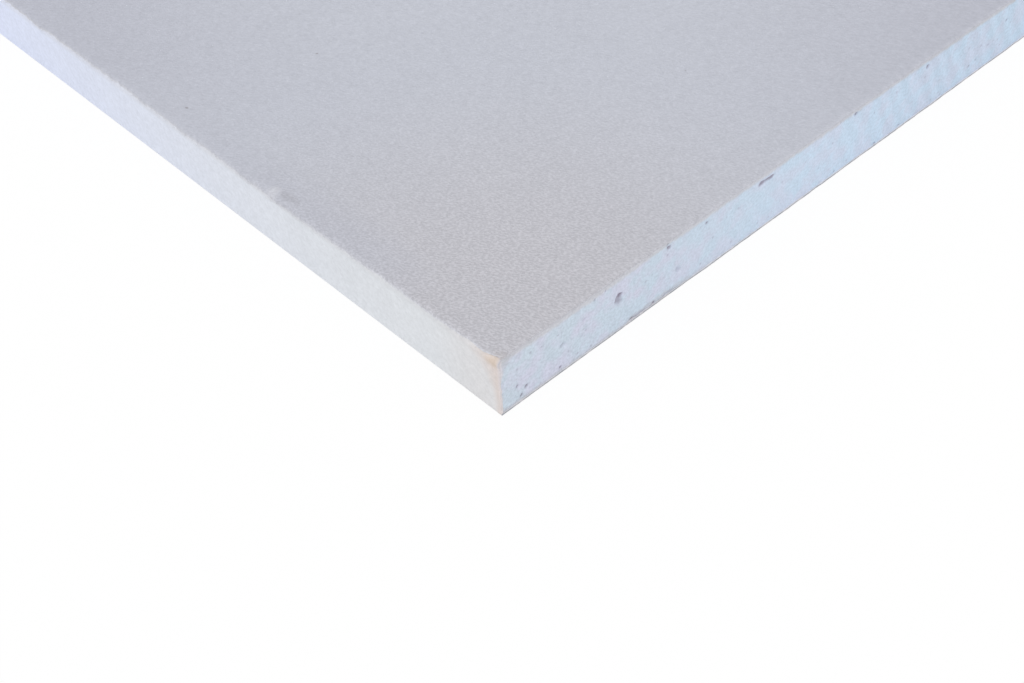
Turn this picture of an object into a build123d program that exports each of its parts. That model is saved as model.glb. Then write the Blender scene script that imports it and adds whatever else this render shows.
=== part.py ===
from build123d import *
import os
from math import cos, radians, sin

# Square-edged paper-faced gypsum board, lying flat with its back liner up.
# The face paper covers the underside and folds up both long edges, tightly round the core's sharp lower
# arrises and in an easy bend over the upper ones, where it returns on to the back as a flap, let into
# the core. The back liner covers the core and the flaps, and its long edges lap over the upper arrises.
# Both ends are cut off square, so the core shows there.
# The origin is at the middle of the underside. +X runs across the sheet, +Y along it, +Z up.
# Sizes are in millimetres, angles in degrees.

# Overall size of the sheet
sheet_width = 1200.0
sheet_length = 2400.0
sheet_thickness = 12.5

# Thickness of the two papers
face_paper_thickness = 0.35
back_paper_thickness = 0.30

# Long edges: the wrap's outer radius at the upper arris, the flap's width from the edge, and how far
# round the upper arris the liner laps
arris_radius = 1.2
flap_width = 28.0
liner_lap_angle = 50.0

# Levels, widths and radii that follow from the sizes above
wrap_height = sheet_thickness - back_paper_thickness
flap_underside = wrap_height - face_paper_thickness
core_width = sheet_width - 2 * face_paper_thickness
core_arris_radius = arris_radius - face_paper_thickness
tight_fold_radius = face_paper_thickness
width_between_flaps = sheet_width - 2 * flap_width
width_between_arrises = sheet_width - 2 * arris_radius
liner_bend_radius = arris_radius + back_paper_thickness


def strip(width, low, high):
    """A flat strip of the section, centred across the sheet between two levels."""
    return Pos(0, (low + high) / 2) * Rectangle(width, high - low)


def slab_with_arrises(width, low, high, radius):
    """A slab's section, centred across the sheet, with both upper arrises rounded."""
    slab = strip(width, low, high)
    return fillet(slab.vertices().group_by(Axis.Y)[-1], radius)


def liner_lap():
    """The liner's bent edge on the right: a ring about the arris's centre, cut off at the lap angle."""
    ring = Circle(liner_bend_radius) - Circle(arris_radius)
    reach = 2 * liner_bend_radius
    lap_edge = (reach * sin(radians(liner_lap_angle)), reach * cos(radians(liner_lap_angle)))
    sector = Polygon((0, 0), lap_edge, (0, reach), align=None)
    arris_centre = Pos(width_between_arrises / 2, wrap_height - arris_radius)
    return arris_centre * (ring & sector)


def along_sheet(section):
    """The solid that a section makes when it runs the whole length of the sheet."""
    return extrude(Plane.XZ * section, amount=sheet_length / 2, both=True)


# What the face paper wraps round, outside and inside the paper, and the back left open by its flaps
outside_of_wrap = slab_with_arrises(sheet_width, 0, wrap_height, arris_radius)
lower_arrises = outside_of_wrap.vertices().group_by(Axis.Y)[0]
outside_of_wrap = fillet(lower_arrises, tight_fold_radius)
inside_of_wrap = slab_with_arrises(core_width, face_paper_thickness, flap_underside, core_arris_radius)
open_back = strip(width_between_flaps, flap_underside, wrap_height)

# Sections of the three pieces: the core rises between the flaps to lie level with them
face_paper_section = outside_of_wrap - inside_of_wrap - open_back
core_section = inside_of_wrap + open_back
right_lap = liner_lap()
liner_section = strip(width_between_arrises, wrap_height, sheet_thickness) + right_lap
liner_section += mirror(right_lap, about=Plane.YZ)

pieces = {
    "gypsum_core": along_sheet(core_section),
    "face_paper": along_sheet(face_paper_section),
    "back_paper": along_sheet(liner_section),
}

os.makedirs("parts", exist_ok=True)
for name, piece in pieces.items():
    export_step(piece, f"parts/{name}.step")
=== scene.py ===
import itertools
import logging
import math
from dataclasses import dataclass, field, replace
from enum import Enum
from typing import ClassVar

import bmesh
import bpy
import numpy as np
from mathutils import Matrix, Vector


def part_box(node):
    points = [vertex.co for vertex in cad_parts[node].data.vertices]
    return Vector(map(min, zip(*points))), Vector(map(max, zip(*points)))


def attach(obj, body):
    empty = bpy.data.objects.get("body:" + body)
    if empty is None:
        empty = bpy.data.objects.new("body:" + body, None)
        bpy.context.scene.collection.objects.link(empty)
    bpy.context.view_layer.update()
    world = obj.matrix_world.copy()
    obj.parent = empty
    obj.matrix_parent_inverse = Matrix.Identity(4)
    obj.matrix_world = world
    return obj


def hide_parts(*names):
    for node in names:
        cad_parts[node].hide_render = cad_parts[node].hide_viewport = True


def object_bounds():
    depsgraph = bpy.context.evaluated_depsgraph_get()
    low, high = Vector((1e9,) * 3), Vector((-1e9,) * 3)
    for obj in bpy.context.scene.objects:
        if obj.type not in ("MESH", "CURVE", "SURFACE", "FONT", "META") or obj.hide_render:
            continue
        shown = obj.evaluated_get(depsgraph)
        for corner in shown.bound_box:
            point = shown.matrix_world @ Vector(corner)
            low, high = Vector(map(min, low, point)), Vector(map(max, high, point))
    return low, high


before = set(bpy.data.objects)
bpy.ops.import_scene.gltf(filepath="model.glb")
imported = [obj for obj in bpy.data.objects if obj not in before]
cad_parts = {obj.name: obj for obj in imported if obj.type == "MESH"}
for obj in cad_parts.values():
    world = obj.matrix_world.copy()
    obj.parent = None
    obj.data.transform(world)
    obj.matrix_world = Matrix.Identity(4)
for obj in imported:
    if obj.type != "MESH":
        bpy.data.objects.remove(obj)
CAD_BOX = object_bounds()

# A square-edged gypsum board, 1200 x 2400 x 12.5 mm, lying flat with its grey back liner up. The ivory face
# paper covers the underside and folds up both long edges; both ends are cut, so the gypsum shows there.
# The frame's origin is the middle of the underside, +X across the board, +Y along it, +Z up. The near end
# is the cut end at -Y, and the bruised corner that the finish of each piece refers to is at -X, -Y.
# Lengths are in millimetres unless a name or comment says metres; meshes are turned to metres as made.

log = logging.getLogger("gypsum_board")
MM = 0.001
CM_PER_METRE = 100
SHARP_FOLD = math.radians(40)  # edges that fold more than this are shaded sharp
NUMBERS, PLACES = "ShaderNodeMath", "ShaderNodeVectorMath"  # the nodes that reckon with either

# What the meshes' noise is drawn from: a table of heights, and large primes that scatter its cells over the
# table. The shift keeps the cells' numbers above zero.
HEIGHTS = np.random.default_rng(1200).uniform(-1, 1, 65536)
SEED_STEP = 7919
CELL_STEPS = (73856093, 19349663, 83492791)
CELL_SHIFT = 4096.5
Layers = tuple[tuple[float, float, int], ...]  # for each layer of noise its share, its pitch and its seed


class Node(str, Enum):
    """The board's three CAD nodes, which are also the names of their material slots."""

    CORE = "gypsum_core"
    WRAP = "face_paper"
    LINER = "back_paper"


class Mark(str, Enum):
    """What the meshes tell the node trees about a point."""

    TORN = "torn"  # 1 on the torn edge of a paper, 0 where it is whole
    HOLE_SHADE_AND_DUST = "hole_shade_and_dust"  # how dark a hole of the gypsum is painted: painted shade with some grey dust, 1 deep in it
    CAP = "cap"  # 1 on the near cut face, -1 on the far one, 0 elsewhere
    FINE = "fine"  # 1 where the cut face's mesh is close enough to carry small pores
    SAWN = "sawn"  # how strongly saw marks show, 0 to 1, and once they are pressed their ridges, -1 to 1


@dataclass(frozen=True)
class Board:
    """The board's own sizes in millimetres, all but the last three of which the frame gives.

    Attributes:
        half_width: half of what it measures across.
        half_length: half of what it measures along.
        thickness: what it measures through.
        wrap_height: the height of the face paper's flaps and of the core between them.
        face_paper: the face paper's thickness.
        liner: the back liner's thickness.
        arris_radius: the wrap's outer radius at an upper arris.
        flap_width: how far a flap reaches in from the long edge.
        lap_angle: how far round an upper arris the liner laps, in degrees.
    """

    half_width: float
    half_length: float
    thickness: float
    wrap_height: float
    face_paper: float
    liner: float
    arris_radius: float = 1.2
    flap_width: float = 28.0
    lap_angle: float = 50.0

    @classmethod
    def from_frame(cls) -> "Board":
        """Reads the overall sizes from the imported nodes.

        Returns:
            The board's sizes.
        """
        high = [value / MM for value in CAD_BOX[1]]
        wrap_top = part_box(Node.WRAP.value)[1][2] / MM
        core_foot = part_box(Node.CORE.value)[0][2] / MM
        return cls(high[0], high[1], high[2], wrap_top, core_foot, high[2] - wrap_top)

    @property
    def arris_middle(self) -> float:
        """How far from the board's middle line the centres of its rounded arrises lie."""
        return self.half_width - self.arris_radius

    @property
    def flap_end(self) -> float:
        """How far from the board's middle line the face paper's flaps end."""
        return self.half_width - self.flap_width

    def by_ends(self, y: np.ndarray, reach: float) -> np.ndarray:
        """Finds how close places are to the two cut ends.

        Args:
            y: the places along the board.
            reach: how far an end's nearness goes.

        Returns:
            1 at the near end, -1 at the far one, and 0 out of their reach.
        """
        near, far = (np.clip(1 - away / reach, 0, 1) for away in (y + self.half_length, self.half_length - y))
        return near - far


@dataclass(frozen=True)
class Wander:
    """Smooth seeded noise from -1 to 1, in one to three directions.

    Attributes:
        pitch: distance between its hills, in millimetres.
        seed: picks one of its patterns.
    """

    pitch: float
    seed: int

    def __call__(self, *places: np.ndarray) -> np.ndarray:
        """Gives the noise at some places.

        Args:
            *places: one array of coordinates for each direction, in millimetres.

        Returns:
            The noise, one value for each place.
        """
        scaled = [np.asarray(place, float) / self.pitch + CELL_SHIFT for place in places]
        cells = [np.floor(place).astype(np.int64) for place in scaled]
        shares = [place - cell for place, cell in zip(scaled, cells)]
        eased = [share * share * (3 - 2 * share) for share in shares]
        total = 0.0
        for corner in itertools.product((0, 1), repeat=len(places)):
            code, weight = self.seed * SEED_STEP, 1.0
            for bit, cell, share, step in zip(corner, cells, eased, CELL_STEPS):
                code = code ^ ((cell + bit) * step)
                weight = weight * (share if bit else 1 - share)
            total = total + weight * HEIGHTS[(code ^ (code >> 15)) % len(HEIGHTS)]
        return total


def layered(layers: Layers, *places: np.ndarray, shift: int = 0) -> np.ndarray:
    """Adds up several layers of noise.

    Args:
        layers: each layer's share, its pitch in millimetres and its seed.
        *places: one array of coordinates for each direction, in millimetres.
        shift: what is added to the seeds, for another pattern of the same kind.

    Returns:
        The noise, one value for each place.
    """
    return sum(share * Wander(pitch, seed + shift)(*places) for share, pitch, seed in layers)


def smooth(value: np.ndarray) -> np.ndarray:
    """Eases a share: 0 below 0, 1 above 1, and a smooth step between."""
    share = np.clip(value, 0, 1)
    return share * share * (3 - 2 * share)


def spaced(start: float, *spans: tuple[float, float]) -> np.ndarray:
    """Places along a line, close where the detail is and far apart elsewhere.

    Args:
        start: the first place.
        *spans: pairs of where a span ends and the widest step inside it.

    Returns:
        The places in order, with every span's end among them.
    """
    places = [np.array([start])]
    for end, step in spans:
        count = max(1, math.ceil(round((end - start) / step, 9)))
        places.append(np.linspace(start, end, count + 1)[1:])
        start = end
    return np.concatenate(places)


@dataclass(frozen=True)
class Run:
    """A row of a shell's points.

    Attributes:
        numbers: the points' numbers in the shell.
        along: how far along the row each point lies, rising.
    """

    numbers: np.ndarray
    along: np.ndarray

    def reversed(self) -> "Run":
        """The same row from its other end."""
        return Run(self.numbers[::-1], self.along[-1] - self.along[::-1])


class Shell:
    """Gathers the points and faces of one closed piece, row by row, in millimetres."""

    def __init__(self) -> None:
        """Starts an empty shell."""
        self.points: list[np.ndarray] = []
        self.marks: dict[Mark, list[np.ndarray]] = {mark: [] for mark in Mark}
        self.faces: list[tuple[int, ...]] = []
        self.count = 0

    def add(self, points: np.ndarray, marks: dict[Mark, np.ndarray | float] | None = None) -> np.ndarray:
        """Adds points.

        Args:
            points: one row of x, y and z for each.
            marks: what each mark is at each point or at all of them, 0 if it isn't given.

        Returns:
            The points' numbers.
        """
        numbers = np.arange(self.count, self.count + len(points))
        self.count += len(points)
        self.points.append(points)
        for mark, kept in self.marks.items():
            kept.append(np.broadcast_to((marks or {}).get(mark, 0.0), len(points)))
        return numbers

    def ring(self, rows: list[np.ndarray], alongs: list[np.ndarray],
             torn: list[np.ndarray] | None = None) -> list[Run]:
        """Adds a closed round of rows, each of which ends where the next one starts.

        Args:
            rows: the points of each row with both its ends.
            alongs: how far along its row each point lies.
            torn: how torn the paper is at each point, 0 everywhere if it isn't given.

        Returns:
            One run for each row.
        """
        shares = torn or [np.zeros(len(row)) for row in rows]
        numbers = [self.add(row[:-1], {Mark.TORN: share[:-1]}) for row, share in zip(rows, shares)]
        heads = [own[0] for own in numbers]
        closed = [np.append(own, heads[(i + 1) % len(heads)]) for i, own in enumerate(numbers)]
        return [Run(own, along) for own, along in zip(closed, alongs)]

    def zip(self, first: Run, second: Run) -> None:
        """Fills the strip between two rows, whether or not they have as many points.

        Args:
            first: one row.
            second: the other, which runs the same way.
        """
        if len(first.numbers) == len(second.numbers):
            corners = (first.numbers[:-1], first.numbers[1:], second.numbers[1:], second.numbers[:-1])
            self.faces.extend(map(tuple, np.stack(corners, 1).tolist()))
            return
        i = j = 0
        ends = len(first.numbers) - 1, len(second.numbers) - 1
        while i < ends[0] or j < ends[1]:
            first_next = j == ends[1] or (i < ends[0] and first.along[i + 1] <= second.along[j + 1])
            new = first.numbers[i + 1] if first_next else second.numbers[j + 1]
            self.faces.append((int(first.numbers[i]), int(new), int(second.numbers[j])))
            i, j = (i + 1, j) if first_next else (i, j + 1)

    def tube(self, rounds: list[list[Run]]) -> None:
        """Fills the bands from each round to the next, run by run.

        Args:
            rounds: the rounds in order, with as many runs in each.
        """
        for first, second in zip(rounds, rounds[1:]):
            for one, other in zip(first, second):
                self.zip(one, other)

    def cap(self, rows: list[np.ndarray]) -> None:
        """Closes an end with the strips between its rows, and the two faces where the rows end.

        Args:
            rows: the numbers of the points in each row, as many in every one.
        """
        steps = np.arange(len(rows[0]), dtype=float)
        for one, other in zip(rows, rows[1:]):
            self.zip(Run(one, steps), Run(other, steps))
        for i in (0, -1):
            self.faces.append(tuple(int(row[i]) for row in rows))

    def object(self, name: str) -> bpy.types.Object:
        """Makes the mesh and its object in metres, with every face pointing outwards.

        Args:
            name: the piece's name.

        Returns:
            The new object, with its marks as point attributes.
        """
        mesh = bpy.data.meshes.new(name)
        mesh.from_pydata((np.concatenate(self.points) * MM).tolist(), [], self.faces)
        for mark, kept in self.marks.items():
            values = np.concatenate(kept).astype(np.float32)
            if np.any(values):
                mesh.attributes.new(mark.value, "FLOAT", "POINT").data.foreach_set("value", values)
        work = bmesh.new()
        work.from_mesh(mesh)
        bmesh.ops.recalc_face_normals(work, faces=work.faces)
        work.to_mesh(mesh)
        work.free()
        mesh.shade_smooth()
        mesh.set_sharp_from_angle(angle=SHARP_FOLD)
        made = bpy.data.objects.new(name, mesh)
        bpy.context.collection.objects.link(made)
        return made


def linear(hex_colour: str) -> tuple[float, float, float, float]:
    """Turns an sRGB colour to the linear values that a shader takes.

    Args:
        hex_colour: the colour, such as #C0C0C6.

    Returns:
        Its linear red, green and blue, and 1 for its alpha.
    """
    shares = [int(hex_colour[i : i + 2], 16) / 255 for i in (1, 3, 5)]
    turned = [s / 12.92 if s <= 0.04045 else ((s + 0.055) / 1.055) ** 2.4 for s in shares]
    return (*turned, 1.0)


def add(tree: bpy.types.NodeTree, kind: str, links: dict | None = None, **settings: object) -> bpy.types.Node:
    """Adds a node with its settings and links.

    Args:
        tree: the tree to add it to.
        kind: the node's Blender type.
        links: for each input, by name or number, the Value that feeds it or its own constant.
        **settings: the node's own properties.

    Returns:
        The new node.
    """
    made = tree.nodes.new(kind)
    for name, setting in settings.items():
        setattr(made, name, setting)
    for name, source in (links or {}).items():
        if isinstance(source, Value):
            tree.links.new(source.socket, made.inputs[name])
        else:
            made.inputs[name].default_value = source
    return made


def emptied(owner: bpy.types.Material | bpy.types.World) -> bpy.types.NodeTree:
    """Turns on the nodes of a material or a world and clears its tree.

    Args:
        owner: the material or world.

    Returns:
        Its empty tree.
    """
    owner.use_nodes = True
    owner.node_tree.nodes.clear()
    return owner.node_tree


class Value:
    """A number, place or colour that a node tree works out, and that is reckoned with like a plain number.

    Attributes:
        socket: the output that gives it.
        tree: the tree that it belongs to.
    """

    def __init__(self, node: bpy.types.Node, output: int | str = 0) -> None:
        """Takes one output of a node."""
        self.socket = node.outputs[output]
        self.tree = node.id_data

    def join(self, operation: str, *terms: object, kind: str = NUMBERS, output: int | str = 0) -> "Value":
        """Works out a new value from this one and others.

        Args:
            operation: the node's operation.
            *terms: the other values or constants, in the node's order.
            kind: the Math node for numbers, or the one for places.
            output: which of the node's outputs to take.

        Returns:
            The result.
        """
        return Value(add(self.tree, kind, dict(enumerate((self, *terms))), operation=operation), output)

    def __add__(self, other: object) -> "Value":
        """The sum with a value or number."""
        return self.join("ADD", other)

    def __sub__(self, other: object) -> "Value":
        """What is left when a value or number is taken off."""
        return self.join("SUBTRACT", other)

    def __mul__(self, other: object) -> "Value":
        """The product with a value or number."""
        return self.join("MULTIPLY", other)

    def __truediv__(self, other: object) -> "Value":
        """The share of a value or number."""
        return self.join("DIVIDE", other)

    __radd__ = __add__
    __rmul__ = __mul__

    def ragged(self, pattern: "Value", by: float) -> "Value":
        """A distance made up to some millimetres longer by a pattern, which frays what ends at it."""
        return self + pattern * (by * MM)

    def parts(self) -> list["Value"]:
        """The three parts of a place."""
        made = add(self.tree, "ShaderNodeSeparateXYZ", {0: self})
        return [Value(made, i) for i in range(3)]


def mixed(share: Value, first: Value | str, second: Value | str) -> Value:
    """Mixes two colours.

    Args:
        share: how much of the second.
        first: a colour, as a value or as hex.
        second: the other one.

    Returns:
        The mixed colour.
    """
    colours = [linear(colour) if isinstance(colour, str) else colour for colour in (first, second)]
    links = {0: share, 6: colours[0], 7: colours[1]}
    return Value(add(share.tree, "ShaderNodeMix", links, data_type="RGBA"), 2)


@dataclass(frozen=True)
class Step:
    """A smooth step: one amount up to its start and another from its end on.

    Attributes:
        start: where it starts.
        end: where it ends, which may also lie below its start.
        low: the amount up to its start.
        high: the amount from its end on.
        unit: what its start and end are multiplied by.
    """

    start: float
    end: float
    low: float = 0.0
    high: float = 1.0
    unit: ClassVar[float] = 1.0

    def __call__(self, value: Value) -> Value:
        """Steps by a value.

        Args:
            value: what it reads.

        Returns:
            The amount there.
        """
        ends = {"From Min": self.start * self.unit, "From Max": self.end * self.unit}
        links = {"Value": value, **ends, "To Min": self.low, "To Max": self.high}
        return Value(add(value.tree, "ShaderNodeMapRange", links, interpolation_type="SMOOTHSTEP"))

    def raised(self, by: float) -> "Step":
        """The same step with its start and end further up."""
        return replace(self, start=self.start + by, end=self.end + by)


class Span(Step):
    """A smooth step that reads a distance in metres, with its own start and end in millimetres."""

    unit: ClassVar[float] = MM


@dataclass(frozen=True)
class Grain:
    """A random pattern, 0 to 1 about a mean of a half.

    Attributes:
        pitch: the distance between its coarsest hills, in millimetres.
        detail: how many finer layers are laid over them.
        roughness: how strong each finer layer is beside the one before.
    """

    pitch: float
    detail: float = 2.0
    roughness: float = 0.5

    def __call__(self, at: Value, output: str = "Fac") -> Value:
        """Lays the pattern out.

        Args:
            at: the coordinates, in metres.
            output: "Fac" for one number, or "Color" for three that have nothing to do with each other.

        Returns:
            The pattern.
        """
        scale = 1 / (self.pitch * MM)
        links = {"Vector": at, "Scale": scale, "Detail": self.detail, "Roughness": self.roughness}
        return Value(add(at.tree, "ShaderNodeTexNoise", links), output)


@dataclass(frozen=True)
class Finish:
    """What every finish of the board is made with. Its lengths are in millimetres, as everywhere here.

    Attributes:
        board: the board's sizes.
        ior: the refractive index, 1.5 for paper and gypsum alike.
        roughness: how matt it is, 0 to 1.
        specular: how strongly it shines, where 0.5 is a closed smooth surface.
        relief_depth: how deep its finest relief goes, which is shown as bump.
    """

    board: Board
    ior: float = 1.5
    roughness: float = 0.9
    specular: float = 0.2
    relief_depth: float = 0.05

    def start(self, name: str) -> tuple[bpy.types.Material, Value]:
        """Makes an empty node material.

        Args:
            name: the material's name.

        Returns:
            The material and the Object coordinates, in metres.
        """
        material = bpy.data.materials.new(name)
        return material, Value(add(emptied(material), "ShaderNodeTexCoord"), "Object")

    def spot(self, height: float, aside: tuple[float, float, float] = (0.0, 0.0, 0.0)) -> Vector:
        """A place in metres: the bruised corner's upright edge at a height, or so far aside from there."""
        return (Vector((-self.board.half_width, -self.board.half_length, height)) + Vector(aside)) * MM

    def from_corner(self, at: Value) -> list[Value]:
        """How far a place lies in from the long edge at -X, how far from the near end, and its height."""
        return at.join("SUBTRACT", self.spot(0), kind=PLACES).parts()

    def reach(self, at: Value, spot: Vector, along: float = 1.0) -> Value:
        """Measures from a spot, in metres.

        Args:
            at: the coordinates.
            spot: the spot.
            along: what a metre along the board counts for, less than 1 for what is long that way.

        Returns:
            The distance.
        """
        squeeze = Vector((1, along, 1))
        squeezed = at.join("MULTIPLY", squeeze, kind=PLACES)
        return squeezed.join("DISTANCE", spot * squeeze, kind=PLACES, output="Value")

    def mark(self, at: Value, mark: Mark) -> Value:
        """What the mesh tells about each place."""
        return Value(add(at.tree, "ShaderNodeAttribute", attribute_name=mark.value), "Fac")

    def strewn(self, at: Value, spacing: float, dimensions: str = "3D") -> tuple[Value, Value]:
        """Strews dots at random.

        Args:
            at: the coordinates, in metres.
            spacing: the usual distance between dots, in millimetres.
            dimensions: "3D", or "2D" for dots on a flat face.

        Returns:
            How far the nearest dot is, in spacings, and that dot's own random number, 0 to 1.
        """
        links = {"Vector": at, "Scale": 1 / (spacing * MM)}
        dots = add(at.tree, "ShaderNodeTexVoronoi", links, voronoi_dimensions=dimensions)
        own = add(at.tree, "ShaderNodeSeparateColor", {"Color": Value(dots, "Color")})
        return Value(dots, "Distance"), Value(own)

    def close(self, material: bpy.types.Material, colour: Value, bright: Value,
              relief: Value) -> bpy.types.Material:
        """Ends a material: a matt body with its brightness varied and its fine relief as bump.

        Args:
            material: the material.
            colour: the base colour.
            bright: what the colour is multiplied by.
            relief: the relief, 0 to 1.

        Returns:
            The finished material.
        """
        tree = material.node_tree
        varied = Value(add(tree, PLACES, {0: colour, "Scale": bright}, operation="SCALE"))
        bump = {"Height": relief, "Distance": self.relief_depth * MM, "Strength": 1.0}
        body = {
            "Base Color": varied, "Normal": Value(add(tree, "ShaderNodeBump", bump)), "IOR": self.ior,
            "Roughness": self.roughness, "Specular IOR Level": self.specular,
        }
        add(tree, "ShaderNodeOutputMaterial", {"Surface": Value(add(tree, "ShaderNodeBsdfPrincipled", body))})
        return material


@dataclass(frozen=True)
class GreyLinerBoard(Finish):
    """Grey recycled liner board, uncoated, as it leaves a cylinder machine.

    That makes it matt, with a fine crepe of short strokes that lie mostly along the board, faint clouds
    where the fibres lie thicker, and a few dark flecks of old print. It is paler where it is torn or bent
    thin.
    Painted light makes it bluer away from the bruised corner, and bluer and dimmer towards its edges. The
    bruised corner is worn pale and brown, and 58 mm along the long edge there is a pale scuff, with a painted
    shadow just before it where a small flake of the liner stands up.

    A single fibre is about 0.02 mm thick, too fine to show, so the nap and the strokes are drawn as bundles
    of fibres, 0.15 and 0.29 mm apart.
    """

    # near and far: painted light, the light's bluer tint growing away from the bruised corner
    near: str = "#C3C2C8"
    far: str = "#C4C7D1"
    # edge_light: painted light, the bluer, dimmer tint that the edges take away from the bruised corner
    edge_light: str = "#BCBEC9"
    torn: str = "#D6D7DE"
    soiled: str = "#B3A8A2"
    frayed: str = "#DDD5D2"
    # the grey of the old print's flecks, also used for the painted shadow by the scuff
    print_and_shadow_grey: str = "#9C9A9F"
    near_to_far: Span = Span(15, 85)  # by the distance from the corner
    edge_tint: Span = Span(50, 0)  # the painted bluer, dimmer light, growing towards every edge
    edge_tint_spared: Span = Span(45, 140, 0.1, 1.0)  # the share of it left, by the distance from the corner
    side_tint: Span = Span(12, 2)  # the same tint, closer to the long edges
    side_tint_spared: Span = Span(12, 35, 0.0, 0.55)
    strokes: Grain = Grain(0.29, 0.5)
    stroke_turn: float = 118.0  # the way that they lie, in degrees from +X
    stroke_length: float = 2.0  # beside their width
    stroke_edge: Step = Step(0.32, 0.68)  # how sharply they stand out
    stroke_amount: Span = Span(0, 100, 0.19, 0.05)  # how much they vary the brightness, near and far
    nap: Grain = Grain(0.15, 0.0)
    nap_amount: Span = Span(0, 90, 0.2, 0.03)
    folds: Grain = Grain(0.42, 1.0)
    fold_length: float = 3.0
    fold_amount: Span = Span(0, 110, 0.04, 0.16)
    tufts: Grain = Grain(1.2, 3.0, 0.6)
    tuft_amount: Span = Span(0, 50, 0.13, 0.17)
    clouds: Grain = Grain(34.0, 4.0, 0.7)
    cloud_amount: float = 0.07
    fleck_spacing: float = 9.0
    fleck_edge: Step = Step(0.05, 0.015)  # in spacings
    fleck_chosen: Step = Step(0.55, 0.95)  # which of the dots show, and how dark
    fleck_bend: Grain = Grain(1.2)  # what bends their round outline
    fleck_bent: float = 0.7
    torn_uneven: float = 0.5
    torn_edge: Step = Step(0.05, 0.95)
    scuff_at: tuple[float, float, float] = (0.7, 58.5, -0.2)  # from the corner's top
    scuff_edge: Span = Span(2.8, 1.2, 0.0, 0.55)
    scuff_ragged: float = 1.5
    # Painted shadow: a dark patch just before the scuff, where a small flake of the liner stands up.
    flake_shadow_at: tuple[float, float, float] = (1.8, 54.9, -0.2)
    flake_shadow_along: float = 0.3
    flake_shadow_edge: Span = Span(1.8, 0.8, 0.0, 0.25)
    flake_shadow_ragged: float = 1.0
    corner_ragged: float = 3.0
    soiled_edge: Span = Span(4.2, 1.6, 0.0, 0.4)
    frayed_edge: Span = Span(2.6, 1.4, 0.0, 0.5)

    def make(self) -> bpy.types.Material:
        """Builds the material.

        Returns:
            The finished material.
        """
        material, at = self.start("grey_recycled_liner_board_uncoated")
        reach = self.reach(at, self.spot(self.board.thickness))
        tufts = self.tufts(at)
        strokes = self.stroke_edge(self.strokes(self.drawn_out(at, self.stroke_length)))
        # Painted light: bluer away from the bruised corner, and bluer and dimmer towards the edges.
        colour = mixed(self.near_to_far(reach), self.near, self.far)
        colour = mixed(self.tinted(at, reach), colour, self.edge_light)
        colour = mixed(self.flecks(at), colour, self.print_and_shadow_grey)
        torn = self.mark(at, Mark.TORN) + (tufts - 0.5) * self.torn_uneven
        colour = mixed(self.torn_edge(torn), colour, self.torn)
        colour = self.worn(at, colour, reach, tufts)
        patterns = (
            (strokes, self.stroke_amount(reach)),
            (self.nap(at), self.nap_amount(reach)),
            (self.folds(self.drawn_out(at, self.fold_length)), self.fold_amount(reach)),
            (tufts, self.tuft_amount(reach)),
            (self.clouds(at), self.cloud_amount),
        )
        bright = sum(((pattern - 0.5) * amount for pattern, amount in patterns), 1.0)
        return self.close(material, colour, bright, strokes + tufts)

    def drawn_out(self, at: Value, length: float) -> Value:
        """Turns the coordinates and draws them out, for a pattern that is longer than wide.

        Args:
            at: the coordinates.
            length: how long the pattern's hills are beside their width.

        Returns:
            The new coordinates.
        """
        turn = (0, 0, math.radians(self.stroke_turn))
        links = {"Vector": at, "Rotation": turn, "Scale": (length, 1.0, 1.0)}
        return Value(add(at.tree, "ShaderNodeMapping", links, vector_type="TEXTURE"))

    def tinted(self, at: Value, reach: Value) -> Value:
        """Finds the painted light that makes the edges bluer and dimmer, with less of it by the bruised
        corner.

        Args:
            at: the coordinates, in metres.
            reach: the distance from the bruised corner.

        Returns:
            How strong the tint is.
        """
        half = Vector((self.board.half_width, self.board.half_length, 0)) * MM
        links = {0: half, 1: at.join("ABSOLUTE", kind=PLACES)}
        from_side, from_end, _ = Value(add(at.tree, PLACES, links, operation="SUBTRACT")).parts()
        edges = self.edge_tint(from_side.join("MINIMUM", from_end)) * self.edge_tint_spared(reach)
        return edges.join("MAXIMUM", self.side_tint(from_side) * self.side_tint_spared(reach))

    def flecks(self, at: Value) -> Value:
        """Draws the flecks of old print.

        Args:
            at: the coordinates, in metres.

        Returns:
            How strongly a fleck colours each place.
        """
        bent = self.fleck_bend(at, "Color").join("MULTIPLY_ADD", (self.fleck_bent * MM,) * 3, at, kind=PLACES)
        away, own = self.strewn(bent, self.fleck_spacing)
        return self.fleck_edge(away) * self.fleck_chosen(own)

    def worn(self, at: Value, colour: Value, reach: Value, tufts: Value) -> Value:
        """Colours the scuff on the long edge with the painted shadow before it, and the wear at the bruised
        corner.

        Args:
            at: the coordinates, in metres.
            colour: the colour so far.
            reach: the distance from the bruised corner.
            tufts: the pattern that frays the edges of these marks.

        Returns:
            The colour with the marks.
        """
        top = self.board.thickness
        flake_shadow = self.reach(at, self.spot(top, self.flake_shadow_at), self.flake_shadow_along)
        scuff = self.reach(at, self.spot(top, self.scuff_at))
        corner = reach.ragged(tufts, self.corner_ragged)
        # Painted shadow of the lifted flake, in the grey of the print flecks.
        colour = mixed(self.flake_shadow_edge(flake_shadow.ragged(tufts, self.flake_shadow_ragged)), colour, self.print_and_shadow_grey)
        colour = mixed(self.scuff_edge(scuff.ragged(tufts, self.scuff_ragged)), colour, self.torn)
        colour = mixed(self.soiled_edge(corner), colour, self.soiled)
        return mixed(self.frayed_edge(corner), colour, self.frayed)


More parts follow.
